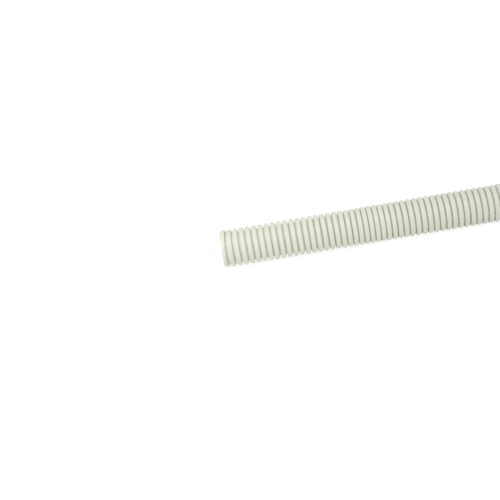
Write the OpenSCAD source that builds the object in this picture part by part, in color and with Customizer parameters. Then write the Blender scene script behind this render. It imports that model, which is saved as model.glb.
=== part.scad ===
// Flexible corrugated conduit: one straight length of thin-walled tube, cut square in a valley at both ends.
// It lies along X on the floor, and the origin is on the floor below the middle of its length.

/* [Stock] */
// Length of the piece
stock_length = 1000; // [200:50:1500]
// Nominal size, measured over the crests
outside_d = 20; // [16:1:32]

/* [Corrugation] */
// Distance from crest to crest, evened out over the length
crest_pitch = 3.25; // [2.8:0.05:4.5]
// Width of the grooves between the crests, half way down
groove_width = 0.65; // [0.4:0.05:1.1]
// Depth of the grooves, seen from outside
groove_depth = 1.9; // [1.2:0.05:2.6]
// Thickness of the wall, the same in crests, sides and valleys
wall = 0.45; // [0.3:0.05:0.6]
// Lean of the sides of a crest, in degrees
side_lean = 6; // [0:1:14]
// Rounding of the crest edges, seen from outside
crest_round = 1; // [0.65:0.05:1.2]

/* [Hidden] */
$fn = 48;
// flats that stand for one rounded edge, outside and in the bore
outer_steps = 3;
inner_steps = 2;

ring_count = round(stock_length / crest_pitch);
ring_step = stock_length / ring_count;

crest_r = outside_d / 2;
valley_r = crest_r - groove_depth;
bore_r = valley_r - wall;

// Half the width of a crest: half way down, at the foot of its sides, and at its top but for the rounding
middle_half = (ring_step - groove_width) / 2;
lean_run = groove_depth / 2 * tan(side_lean);
foot_half = middle_half + lean_run;
top_half = middle_half - lean_run;

// A rounding turns from the land on a crest to its side
side_turn = 90 - side_lean;
crest_land = top_half - crest_round * tan(side_turn / 2);

// Points are [distance from the axis, distance from the middle of the crest]
crest_centre = [crest_r - crest_round, crest_land];
foot = [valley_r, foot_half];

function backwards(points) = [for (i = [len(points) - 1 : -1 : 0]) points[i]];

function rounding(centre, radius, steps) =
    [for (i = [0 : steps]) let (a = side_turn * i / steps) centre + radius * [cos(a), sin(a)]];

// One crest from its middle to the valley, outside and in the bore, with the same wall all the way
outer_side = concat(rounding(crest_centre, crest_round, outer_steps), [foot]);
inner_side = concat(
    rounding(crest_centre, crest_round - wall, inner_steps),
    backwards(rounding(foot, -wall, inner_steps))
);

// A half crest mirrored to a whole one and set at its place along the length
function ring(side, middle) = concat(
    [for (p = backwards(side)) [p[0], middle - p[1]]],
    [for (p = side) [p[0], middle + p[1]]]
);

// All crests in a row, from one cut end to the other
function row_of_rings(side, end_r) = concat(
    [[end_r, 0]],
    [for (i = [0 : ring_count - 1]) each ring(side, (i + 0.5) * ring_step)],
    [[end_r, stock_length]]
);

// The wall cut lengthwise, on one side of the axis
module wall_section() {
    polygon(concat(row_of_rings(outer_side, valley_r), backwards(row_of_rings(inner_side, bore_r))));
}

module conduit() {
    color("ivory")
        translate([-stock_length / 2, 0, crest_r])
            rotate([90, 0, 90])
                rotate_extrude()
                    wall_section();
}

conduit();
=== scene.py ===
import math

import bmesh
import bpy
from mathutils import Matrix, Vector


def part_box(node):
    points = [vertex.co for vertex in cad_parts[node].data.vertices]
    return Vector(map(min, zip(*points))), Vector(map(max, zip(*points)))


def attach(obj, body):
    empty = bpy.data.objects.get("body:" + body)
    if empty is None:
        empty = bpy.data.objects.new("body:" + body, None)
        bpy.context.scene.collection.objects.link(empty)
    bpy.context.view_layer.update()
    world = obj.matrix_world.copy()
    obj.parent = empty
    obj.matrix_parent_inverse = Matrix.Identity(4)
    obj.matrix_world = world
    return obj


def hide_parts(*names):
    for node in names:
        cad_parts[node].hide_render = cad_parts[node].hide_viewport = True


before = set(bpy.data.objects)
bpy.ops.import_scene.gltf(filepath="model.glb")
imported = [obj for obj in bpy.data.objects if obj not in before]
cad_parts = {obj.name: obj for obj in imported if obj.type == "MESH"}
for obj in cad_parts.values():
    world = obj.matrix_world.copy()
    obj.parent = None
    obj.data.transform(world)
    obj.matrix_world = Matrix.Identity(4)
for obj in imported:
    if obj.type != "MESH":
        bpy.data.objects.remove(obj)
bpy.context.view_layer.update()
scene = bpy.context.scene
scene.view_settings.view_transform = "Standard"


# a socket that takes part in Python arithmetic, each operation adding a Math node
class Wire:
    def __init__(self, tree, socket):
        self.tree = tree
        self.socket = socket

    def math(self, operation, first, second):
        made = node(self.tree, "ShaderNodeMath", {"operation": operation}, {0: first, 1: second})
        return Wire(self.tree, made.outputs[0])

    def __add__(self, other):
        return self.math("ADD", self, other)

    def __radd__(self, other):
        return self.math("ADD", other, self)

    def __sub__(self, other):
        return self.math("SUBTRACT", self, other)

    def __rsub__(self, other):
        return self.math("SUBTRACT", other, self)

    def __mul__(self, other):
        return self.math("MULTIPLY", self, other)

    def __rmul__(self, other):
        return self.math("MULTIPLY", other, self)

    def __truediv__(self, other):
        return self.math("DIVIDE", self, other)

    def __rtruediv__(self, other):
        return self.math("DIVIDE", other, self)

    def clamp(self, low=0.0, high=1.0):
        return self.math("MINIMUM", self.math("MAXIMUM", self, low), high)


# any node: its type, its settings first, then values or links for its sockets
def node(tree, kind, settings=None, sockets=None):
    made = tree.nodes.new(kind)
    for name, value in (settings or {}).items():
        setattr(made, name, value)
    for key, value in (sockets or {}).items():
        if isinstance(value, Wire):
            tree.links.new(value.socket, made.inputs[key])
        elif isinstance(value, bpy.types.NodeSocket):
            tree.links.new(value, made.inputs[key])
        else:
            made.inputs[key].default_value = value
    return made


# a Mix node's sockets for colours: the factor is 0, the two colours 6 and 7, the result 2
def mixColour(tree, factor, first, second):
    made = node(tree, "ShaderNodeMix", {"data_type": "RGBA"}, {0: factor, 6: first, 7: second})
    return made.outputs[2]


def blankMaterial(name):
    material = bpy.data.materials.new(name)
    material.use_nodes = True
    material.node_tree.nodes.clear()
    return material, material.node_tree


# the camera, set by where the photograph shows the cut end
photo = {
    "frame": 500,  # pixels across and down
    "lens": 85.0,  # mm
    "sensor": 36.0,  # mm
    "clip": (0.01, 50.0),  # m
    "elevation": 30.0,  # degrees above the floor
    "swing": 1.5,  # degrees that the long end is turned nearer
    "climb": 10.4,  # degrees that the conduit rises across the picture
    "depth": 0.634,  # m from the lens to the cut end, along the view
    "endPixel": (221.7, 249.6),  # middle of the cut end
}


def addCamera(spec, endPoint):
    tilt, turn, roll = (math.radians(spec[key]) for key in ("elevation", "swing", "climb"))
    look = Matrix.Rotation(math.pi / 2 - tilt, 3, "X")
    rotation = Matrix.Rotation(turn, 3, "Z") @ look @ Matrix.Rotation(-roll, 3, "Z")
    focal = spec["lens"] / spec["sensor"] * spec["frame"]  # in pixels
    middle = spec["frame"] / 2
    across, down = ((pixel - middle) / focal for pixel in spec["endPixel"])
    ray = rotation @ Vector((across, -down, -1.0))
    data = bpy.data.cameras.new("photoCamera")
    data.lens = spec["lens"]
    data.sensor_width = spec["sensor"]
    data.clip_start, data.clip_end = spec["clip"]
    camera = bpy.data.objects.new("photoCamera", data)
    camera.matrix_world = Matrix.Translation(endPoint - ray * spec["depth"]) @ rotation.to_4x4()
    scene.collection.objects.link(camera)
    scene.camera = camera
    return camera


nodeLow, nodeHigh = (Vector(corner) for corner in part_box("conduit"))
axisHeight = (nodeLow.z + nodeHigh.z) / 2
cutEnd = Vector((nodeLow.x, 0.0, axisHeight))
camera = addCamera(photo, cutEnd)
print("camera at", tuple(camera.location))


# the conduit's wall, in metres
conduitSpec = {
    "pitch": 0.00325,  # crest to crest, before it is evened out over the length
    "grooveWidth": 0.00065,  # half way down a groove
    "grooveDepth": 0.0019,
    "wall": 0.00045,
    "sideLean": 6.0,  # degrees
    "crestRound": 0.0010,
    # rings, then sides round the tube and flats of a rounding, first outside and then in the bore
    "stretches": (
        (8, 36, 4, 36, 1),
        (40, 36, 4, 18, 1),
        (240, 24, 2, 12, 0),
        (12, 32, 3, 18, 1),
        (8, 36, 3, 36, 1),
    ),
    "mergeGap": 1e-6,  # between the vertices of rings that meet
    "sharpAngle": 60.0,  # degrees, keeps the groove corners crisp
    "tipBend": 7.2,  # degrees that the cut end has relaxed sideways
    "tipLength": 0.017,
    "trim": 0.0002,  # that the cut took off
    "cutGap": 1e-7,  # within which a vertex counts as on the cut
    "slack": 0.0022,  # most that the rings have crept away from the cut end
    "slackPeak": 0.062,  # distances from the cut end
    "slackEnd": 0.100,
}


# points (along, radius) from the top of a rounding to its side, or its corner where there are no flats
def rounding(along, radius, rounded, turn, flats):
    if not flats:
        return [(along + rounded * math.tan(turn / 2), radius + rounded)]
    angles = [turn * i / flats for i in range(flats + 1)]
    return [(along + rounded * math.sin(a), radius + rounded * math.cos(a)) for a in angles]


# one crest and the valley after it, spun from its section
def ringMesh(spec, pitch, crestRadius, outerSides, outerFlats, innerSides, innerFlats):
    lean = math.radians(spec["sideLean"])
    turn = math.pi / 2 - lean
    leanRun = spec["grooveDepth"] / 2 * math.tan(lean)
    foot = ((pitch - spec["grooveWidth"]) / 2 + leanRun, crestRadius - spec["grooveDepth"])
    land = foot[0] - 2 * leanRun - spec["crestRound"] * math.tan(turn / 2)
    centre = (land, crestRadius - spec["crestRound"])
    outer = rounding(*centre, spec["crestRound"], turn, outerFlats) + [foot]
    valley = rounding(*foot, -spec["wall"], turn, innerFlats)
    inner = rounding(*centre, spec["crestRound"] - spec["wall"], turn, innerFlats) + valley[::-1]
    bm = bmesh.new()
    for half, sides in ((outer, outerSides), (inner, innerSides)):
        section = [(-along, radius) for along, radius in half[::-1]] + half
        section.append((pitch - half[-1][0], half[-1][1]))
        verts = [bm.verts.new((along, 0.0, -radius)) for along, radius in section]
        edges = [bm.edges.new(pair) for pair in zip(verts, verts[1:])]
        bmesh.ops.spin(
            bm,
            geom=verts + edges,
            cent=(0, 0, 0),
            axis=(1, 0, 0),
            angle=2 * math.pi,
            steps=sides,
            use_merge=True,
        )
    mesh = bpy.data.meshes.new("conduitRing")
    bm.to_mesh(mesh)
    bm.free()
    return mesh


# a row of rings as one mesh, the first ring's middle at firstX
def ringRow(spec, pitch, crestRadius, firstX, rings, *detail):
    maker = bpy.data.objects.new("ringRow", ringMesh(spec, pitch, crestRadius, *detail))
    scene.collection.objects.link(maker)
    row = maker.modifiers.new("ringRow", "ARRAY")
    row.count = rings
    row.use_relative_offset = False
    row.use_constant_offset = True
    row.constant_offset_displace = (pitch, 0.0, 0.0)
    row.use_merge_vertices = True
    row.merge_threshold = spec["mergeGap"]
    mesh = bpy.data.meshes.new_from_object(maker.evaluated_get(bpy.context.evaluated_depsgraph_get()))
    bpy.data.objects.remove(maker)
    mesh.transform(Matrix.Translation((firstX, 0.0, axisHeight)))
    return mesh


def isInner(edge, radius):
    return all(math.hypot(v.co.y, v.co.z - axisHeight) < radius for v in edge.verts)


# all stretches in a row, bridged in the valleys where their detail changes, open at both ends
def joinedStretches(spec, pitch, crestRadius):
    midWall = crestRadius - spec["grooveDepth"] - spec["wall"] / 2
    bm = bmesh.new()
    joint = nodeLow.x
    for rings, *detail in spec["stretches"]:
        openEdges = [e for e in bm.edges if e.is_boundary and e.verts[0].co.x > joint - pitch]
        for vert in {v for e in openEdges for v in e.verts}:
            vert.co.x = joint
        bm.from_mesh(ringRow(spec, pitch, crestRadius, joint + pitch / 2, rings, *detail))
        if openEdges:
            rims = [e for e in bm.edges if e.is_boundary and abs(e.verts[0].co.x - joint) < pitch / 2]
            for inner in (True, False):
                bmesh.ops.bridge_loops(bm, edges=[e for e in rims if isInner(e, midWall) == inner])
        joint += rings * pitch

    # both ends are cut in the middle of a valley
    for vert in {v for e in bm.edges if e.is_boundary for v in e.verts}:
        vert.co.x = nodeLow.x if vert.co.x < 0 else nodeHigh.x
    return bm


# how far a ring has crept along, by its distance from the cut end
def ringShift(spec, distance):
    peak, end = spec["slackPeak"], spec["slackEnd"]
    if distance < peak:
        return spec["slack"] * math.sin(math.pi / 2 * distance / peak)
    past = min((distance - peak) / (end - peak), 1.0)
    return spec["slack"] * (1 + math.cos(math.pi * past)) / 2


# rings drawn apart near the cut end and pushed together further in, each keeping its shape
def shiftRings(spec, bm, pitch, count):
    for vert in bm.verts:
        ring = math.floor((vert.co.x - nodeLow.x) / pitch)
        if 0 <= ring < count:
            vert.co.x += ringShift(spec, (ring + 0.5) * pitch)


# depth below the crests, which the material reads to paint shade into the grooves
def noteDepth(bm, crestRadius):
    depth = bm.verts.layers.float.new("depth")
    for vert in bm.verts:
        vert[depth] = crestRadius - math.hypot(vert.co.y, vert.co.z - axisHeight)


# the tip relaxed sideways, bending more towards its end, and what that pushed past the end cut off
def relaxTip(spec, bm):
    bend = math.radians(spec["tipBend"])
    reach = spec["tipLength"]
    for vert in bm.verts:
        left = 1 - (vert.co.x - nodeLow.x) / reach
        if left > 0:
            turn = bend * left**2
            across = vert.co.y
            vert.co.x += across * math.sin(turn)
            vert.co.y = across * math.cos(turn) + bend * reach / 3 * left**3
    bmesh.ops.bisect_plane(
        bm,
        geom=bm.verts[:] + bm.edges[:] + bm.faces[:],
        dist=spec["cutGap"],
        plane_co=(nodeLow.x + spec["trim"], 0, 0),
        plane_no=(-1, 0, 0),
        clear_outer=True,
    )


# the cut edge of the wall, between its outside and the bore, at both ends
def closeEnds(bm):
    rims = [e for e in bm.edges if e.is_boundary]
    for atStart in (True, False):
        ends = [e for e in rims if (e.verts[0].co.x < 0) == atStart]
        bmesh.ops.triangle_fill(bm, use_beauty=True, edges=ends)
    bmesh.ops.recalc_face_normals(bm, faces=bm.faces[:])


def addConduit(spec):
    length = nodeHigh.x - nodeLow.x
    count = round(length / spec["pitch"])
    pitch = length / count
    crestRadius = (nodeHigh.z - nodeLow.z) / 2
    bm = joinedStretches(spec, pitch, crestRadius)
    shiftRings(spec, bm, pitch, count)
    noteDepth(bm, crestRadius)
    relaxTip(spec, bm)
    closeEnds(bm)
    for face in bm.faces:
        face.smooth = True
    mesh = bpy.data.meshes.new("corrugated_conduit")
    bm.to_mesh(mesh)
    bm.free()
    mesh.set_sharp_from_angle(angle=math.radians(spec["sharpAngle"]))
    piece = bpy.data.objects.new("corrugated_conduit", mesh)
    scene.collection.objects.link(piece)
    print("conduit rings", count, "triangles", sum(len(p.vertices) - 2 for p in mesh.polygons))
    return piece


# warm off-white plastic with the soft sheen of a moulded tube
plasticSpec = {
    "tone": (0.84, 0.845, 0.728, 1.0),
    "roughness": 0.42,
    "roughnessSpread": 0.10,
    "ior": 1.5,
    "shade": (0.76, 0.765, 0.65, 1.0),  # of the clouds in the tone
    "clouds": 60.0,  # per metre
    "cloudDetail": 3.0,
    "cloudRoughness": 0.55,
    "cloudStart": 0.35,  # noise level at which a cloud begins
    "cloudGain": 1.2,
    "cloudShare": 0.35,  # of the shade, where a cloud is full
    "grooveShadeTone": (0.58, 0.58, 0.80, 1.0),  # painted shade: greys the grooves a little, standing in for the shade that falls in them
    "grooveShadeShare": 0.10,
    "grooveShadeReach": 0.0008,  # m below the crests, where the share of painted shade is full
    "grain": 2600.0,  # per metre
    "grainDetail": 2.0,
    "grainStrength": 0.5,
    "grainHeight": 0.00001,  # m
}


def ivoryPlastic(spec):
    material, tree = blankMaterial("ivoryPlastic")
    place = node(tree, "ShaderNodeTexCoord").outputs["Object"]
    clouds = node(
        tree,
        "ShaderNodeTexNoise",
        None,
        {
            "Vector": place,
            "Scale": spec["clouds"],
            "Detail": spec["cloudDetail"],
            "Roughness": spec["cloudRoughness"],
        },
    )
    cloud = Wire(tree, clouds.outputs["Fac"])
    clouded = ((cloud - spec["cloudStart"]) * spec["cloudGain"]).clamp() * spec["cloudShare"]
    tone = mixColour(tree, clouded, spec["tone"], spec["shade"])
    # painted shade: the colour greys with depth into the grooves, standing in for the shade that falls
    # there
    depth = Wire(tree, node(tree, "ShaderNodeAttribute", {"attribute_name": "depth"}).outputs["Fac"])
    grooveShadeMask = (depth / spec["grooveShadeReach"]).clamp()
    toneWithGrooveShade = mixColour(tree, grooveShadeMask * spec["grooveShadeShare"], tone, spec["grooveShadeTone"])
    grain = node(
        tree,
        "ShaderNodeTexNoise",
        None,
        {"Vector": place, "Scale": spec["grain"], "Detail": spec["grainDetail"]},
    )
    bump = node(
        tree,
        "ShaderNodeBump",
        None,
        {
            "Height": grain.outputs["Fac"],
            "Strength": spec["grainStrength"],
            "Distance": spec["grainHeight"],
        },
    )
    smoothest = spec["roughness"] - spec["roughnessSpread"] / 2
    surface = node(
        tree,
        "ShaderNodeBsdfPrincipled",
        None,
        {
            "Base Color": toneWithGrooveShade,
            "Roughness": cloud * spec["roughnessSpread"] + smoothest,
            "IOR": spec["ior"],
            "Normal": bump.outputs["Normal"],
        },
    )
    node(tree, "ShaderNodeOutputMaterial", None, {"Surface": surface.outputs[0]})
    return material


conduit = addConduit(conduitSpec)
conduit.data.materials.append(ivoryPlastic(plasticSpec))
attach(conduit, "root")
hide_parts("conduit")
print("conduit dressed")

white = (1.0, 1.0, 1.0, 1.0)


# 1 for camera rays, mirrored rays and rays through something clear, and 0 for the rest
def seenByCamera(tree):
    path = node(tree, "ShaderNodeLightPath")
    kinds = ("Is Camera Ray", "Is Glossy Ray", "Is Transmission Ray")
    return sum(Wire(tree, path.outputs[kind]) for kind in kinds).clamp()


# pale floor, white to the camera but for the object's soft shadow
floorSpec = {
    "size": 30.0,  # m
    "colour": (0.95, 0.95, 0.95, 1.0),
    "glow": 1.13,  # makes up for the share of the matte floor
    "shadowShare": 0.2,  # of the matte floor in what the camera sees
}


def addFloor(spec):
    bm = bmesh.new()
    bmesh.ops.create_grid(bm, x_segments=1, y_segments=1, size=spec["size"] / 2)
    mesh = bpy.data.meshes.new("studioFloor")
    bm.to_mesh(mesh)
    bm.free()
    floor = bpy.data.objects.new("studioFloor", mesh)
    scene.collection.objects.link(floor)
    material, tree = blankMaterial("studioFloor")
    matte = node(tree, "ShaderNodeBsdfDiffuse", None, {"Color": spec["colour"]})
    glow = node(tree, "ShaderNodeEmission", None, {"Color": white, "Strength": spec["glow"]})
    share = seenByCamera(tree) * (1.0 - spec["shadowShare"])
    both = node(tree, "ShaderNodeMixShader", None, {0: share, 1: matte.outputs[0], 2: glow.outputs[0]})
    node(tree, "ShaderNodeOutputMaterial", None, {"Surface": both.outputs[0]})
    mesh.materials.append(material)


addFloor(floorSpec)
print("floor laid")


# soft sky, a softbox beyond the far end that keeps the grooves dark, and a small one over the cut end
lightSpec = {
    "skyLight": 0.525,
    "farWatts": 4.2,
    "farSize": 0.5,
    "farFrom": (0.95, -0.5, 0.8),  # m from the middle of the conduit
    "tipWatts": 0.485,
    "tipSize": 0.12,
    "tipFrom": (-0.10, -0.15, 0.30),  # m from the cut end
}


# white where the camera sees it, dimmer as a light
def addSky(strength):
    world = bpy.data.worlds.new("studioSky")
    world.use_nodes = True
    tree = world.node_tree
    tree.nodes.clear()
    level = seenByCamera(tree) * (1.0 - strength) + strength
    sky = node(tree, "ShaderNodeBackground", None, {"Color": white, "Strength": level})
    node(tree, "ShaderNodeOutputWorld", None, {"Surface": sky.outputs[0]})
    scene.world = world


def addSoftbox(name, watts, size, place, target):
    data = bpy.data.lights.new(name, "AREA")
    data.shape = "DISK"
    data.size = size
    data.energy = watts
    lamp = bpy.data.objects.new(name, data)
    aim = (target - place).to_track_quat("-Z", "Y")
    lamp.matrix_world = Matrix.Translation(place) @ aim.to_matrix().to_4x4()
    scene.collection.objects.link(lamp)


addSky(lightSpec["skyLight"])
middle = Vector((0.0, 0.0, axisHeight))
for name, target in (("far", middle), ("tip", cutEnd)):
    addSoftbox(
        name + "Light",
        lightSpec[name + "Watts"],
        lightSpec[name + "Size"],
        target + Vector(lightSpec[name + "From"]),
        target,
    )
print("studio lit")
